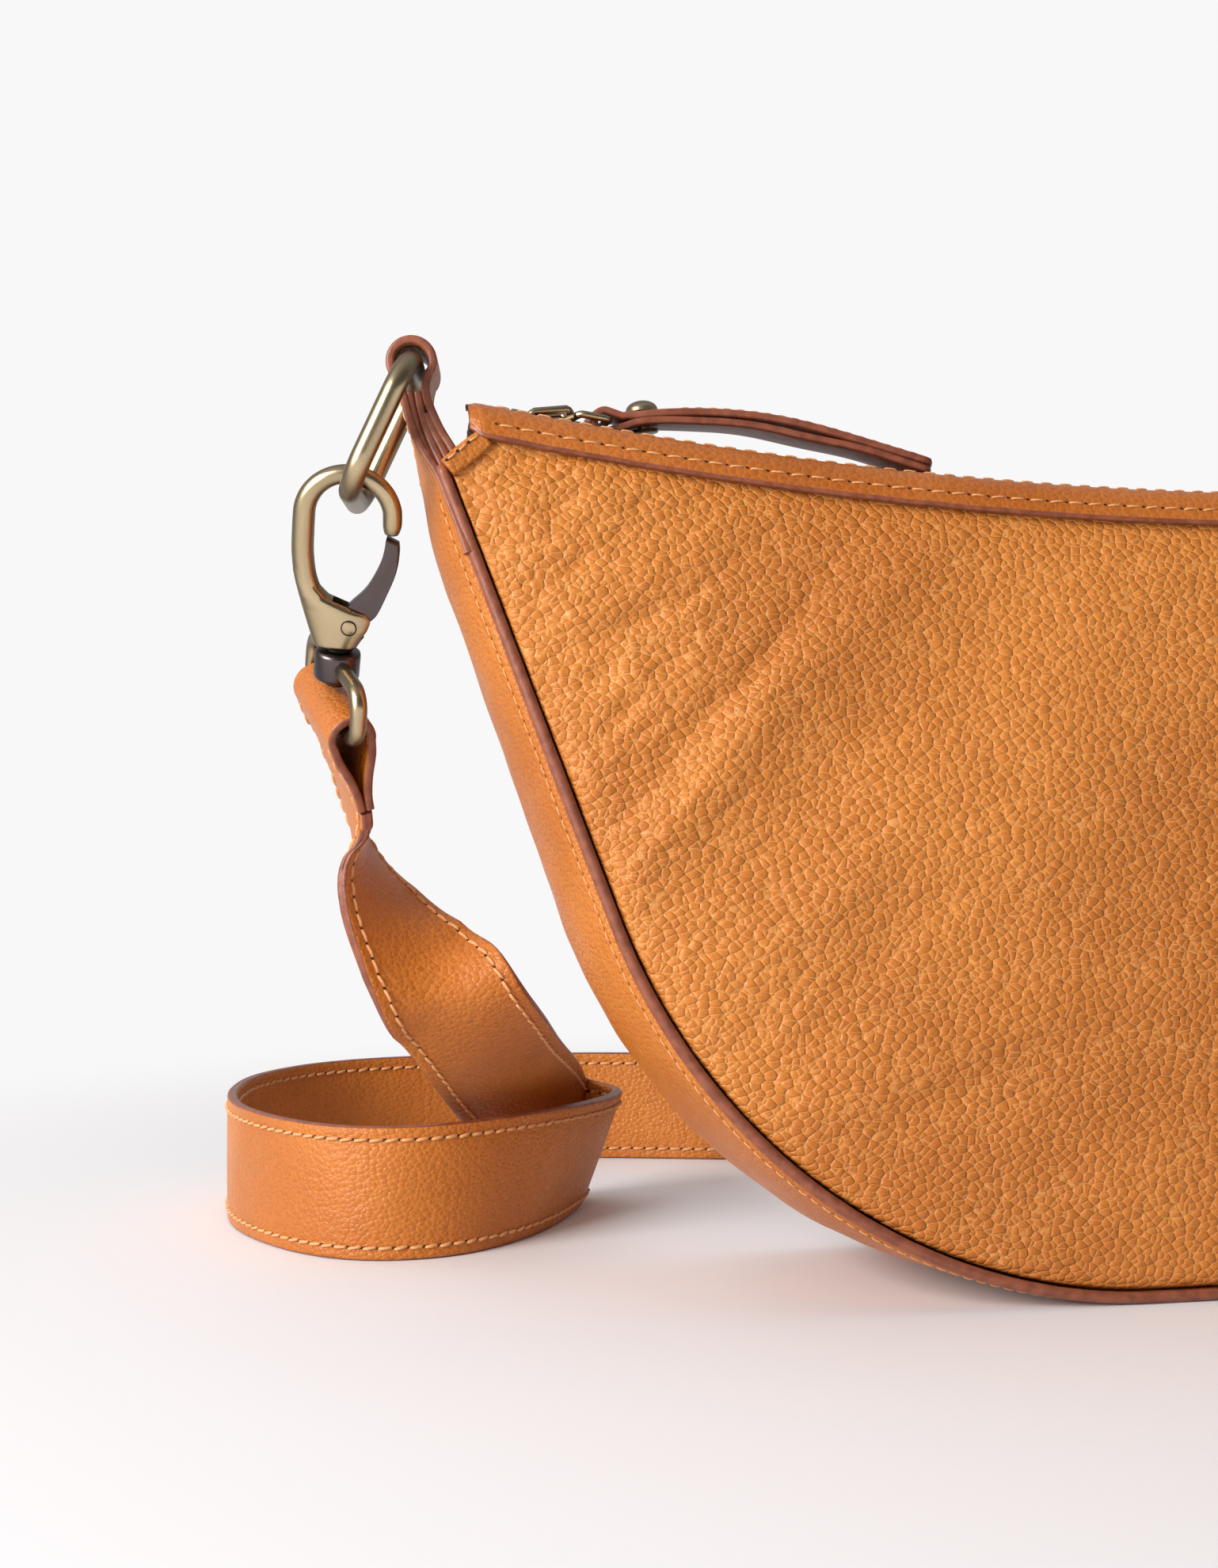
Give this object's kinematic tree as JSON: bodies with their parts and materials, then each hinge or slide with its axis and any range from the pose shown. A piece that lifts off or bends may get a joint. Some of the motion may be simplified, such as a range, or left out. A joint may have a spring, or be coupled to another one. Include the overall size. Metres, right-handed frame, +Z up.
{
  "type": "sling bag",
  "caption": "Crescent sling bag in pebbled leather with a zipped top, ringed ends, swivel snap hooks and a flat leather strap.",
  "frame": {"origin": "on the floor under the middle of the bag's foot", "axes": "+X to the right along the bag, the front faces -Y, +Z up"},
  "size_m": [0.4136, 0.2062, 0.1982],
  "materials": {
    "pebbled_leather": "pebbled, semi-matt",
    "smooth_leather": "smooth, satin",
    "painted_edge": "painted edge, satin",
    "brown_leather": "smooth, satin",
    "lining_cloth": "woven cotton",
    "zip_tape": "woven tape",
    "board": "matt",
    "antique_brass": "antique, brushed",
    "gunmetal": "dark satin"
  },
  "bodies": {
    "bag": {"gusset": "smooth_leather", "front_panel": "pebbled_leather", "back_panel": "pebbled_leather", "front_piping": "painted_edge", "back_piping": "painted_edge", "lining_gusset": "lining_cloth", "lining_front": "lining_cloth", "lining_back": "lining_cloth", "lining_pocket": "lining_cloth", "foot_board": "board", "zip_band_front": "pebbled_leather", "zip_band_back": "pebbled_leather", "zip_tape_front": "zip_tape", "zip_tape_back": "zip_tape", "zip_teeth_front": "antique_brass", "zip_teeth_back": "antique_brass", "zip_stop_left": "antique_brass", "zip_stop_right": "antique_brass", "corner_strip_front_left": "smooth_leather", "corner_strip_front_right": "smooth_leather", "corner_strip_back_left": "smooth_leather", "corner_strip_back_right": "smooth_leather", "ring_loop_left": "smooth_leather", "ring_loop_right": "smooth_leather", "strap_fold_left": "smooth_leather", "strap_fold_right": "smooth_leather", "strap_drop_left": "smooth_leather", "strap_floor_loop_front": "smooth_leather", "strap_floor_loop_back": "smooth_leather", "strap_back_run": "smooth_leather", "strap_drop_right": "smooth_leather"},
    "zip_slider": {"zip_slider": "antique_brass"},
    "slider_bail": {"slider_bail": "antique_brass"},
    "puller_link": {"puller_link": "antique_brass"},
    "puller_tab": {"puller_tab": "brown_leather", "puller_rivet": "antique_brass"},
    "ring_left": {"strap_ring_left": "antique_brass"},
    "hook_left": {"hook_body_left": "antique_brass", "gate_pin_left": "antique_brass", "gate_spring_left": "gunmetal"},
    "gate_left": {"hook_gate_left": "gunmetal"},
    "eye_left": {"swivel_eye_left": "antique_brass"},
    "ring_right": {"strap_ring_right": "antique_brass"},
    "hook_right": {"hook_body_right": "antique_brass", "gate_pin_right": "antique_brass", "gate_spring_right": "gunmetal"},
    "gate_right": {"hook_gate_right": "gunmetal"},
    "eye_right": {"swivel_eye_right": "antique_brass"}
  },
  "joints": [
    {"name": "zip_travel", "type": "hinge", "parent": "bag", "child": "zip_slider", "pos_m": [0, 0, 1.1213], "axis": [0, -1, 0], "range_deg": [0, 13]},
    {"name": "bail_swing", "type": "hinge", "parent": "zip_slider", "child": "slider_bail", "pos_m": [-0.15215, 0, 0.1826], "axis": [0, -1, 0], "range_deg": [0, 100]},
    {"name": "link_swing", "type": "hinge", "parent": "slider_bail", "child": "puller_link", "pos_m": [-0.14228, 0, 0.18414], "axis": [0, -1, 0], "range_deg": [0, 30]},
    {"name": "tab_swing", "type": "hinge", "parent": "puller_link", "child": "puller_tab", "pos_m": [-0.13487, 0, 0.18294], "axis": [0, -1, 0], "range_deg": [0, 30]},
    {"name": "ring_swing_left", "type": "hinge", "parent": "bag", "child": "ring_left", "pos_m": [-0.175, 0, 0.193], "axis": [0.1736, 0.9848, 0], "range_deg": [-4.5, 2]},
    {"name": "hook_swing_left", "type": "hinge", "parent": "ring_left", "child": "hook_left", "pos_m": [-0.18728, 0.00216, 0.16626], "axis": [0.1736, 0.9848, 0], "range_deg": [-3.3, 7.4]},
    {"name": "gate_left", "type": "hinge", "parent": "hook_left", "child": "gate_left", "pos_m": [-0.18689, 0.01311, 0.14106], "axis": [-0.1883, -0.8855, -0.4248], "range_deg": [0, 25], "stiffness_Nm_per_rad": 0.02, "springref_deg": -17.19},
    {"name": "swivel_left", "type": "hinge", "parent": "hook_left", "child": "eye_left", "pos_m": [-0.1896, 0.0223, 0.1231], "axis": [0.0319, -0.4378, 0.8985], "range_deg": [-3, 3]},
    {"name": "ring_swing_right", "type": "hinge", "parent": "bag", "child": "ring_right", "pos_m": [0.175, 0, 0.193], "axis": [0.1736, -0.9848, 0], "range_deg": [-4.5, 2]},
    {"name": "hook_swing_right", "type": "hinge", "parent": "ring_right", "child": "hook_right", "pos_m": [0.18728, 0.00216, 0.16626], "axis": [0.1736, -0.9848, 0], "range_deg": [-3.3, 7.4]},
    {"name": "gate_right", "type": "hinge", "parent": "hook_right", "child": "gate_right", "pos_m": [0.18689, 0.01311, 0.14106], "axis": [-0.1883, 0.8855, 0.4248], "range_deg": [0, 25], "stiffness_Nm_per_rad": 0.02, "springref_deg": -17.19},
    {"name": "swivel_right", "type": "hinge", "parent": "hook_right", "child": "eye_right", "pos_m": [0.1896, 0.0223, 0.1231], "axis": [0.0319, 0.4378, -0.8985], "range_deg": [-3, 3]}
  ],
  "couplings": [
    {"joint": "hook_swing_left", "follows": "ring_swing_left", "ratio": -1.618},
    {"joint": "hook_swing_right", "follows": "ring_swing_right", "ratio": -1.618}
  ]
}
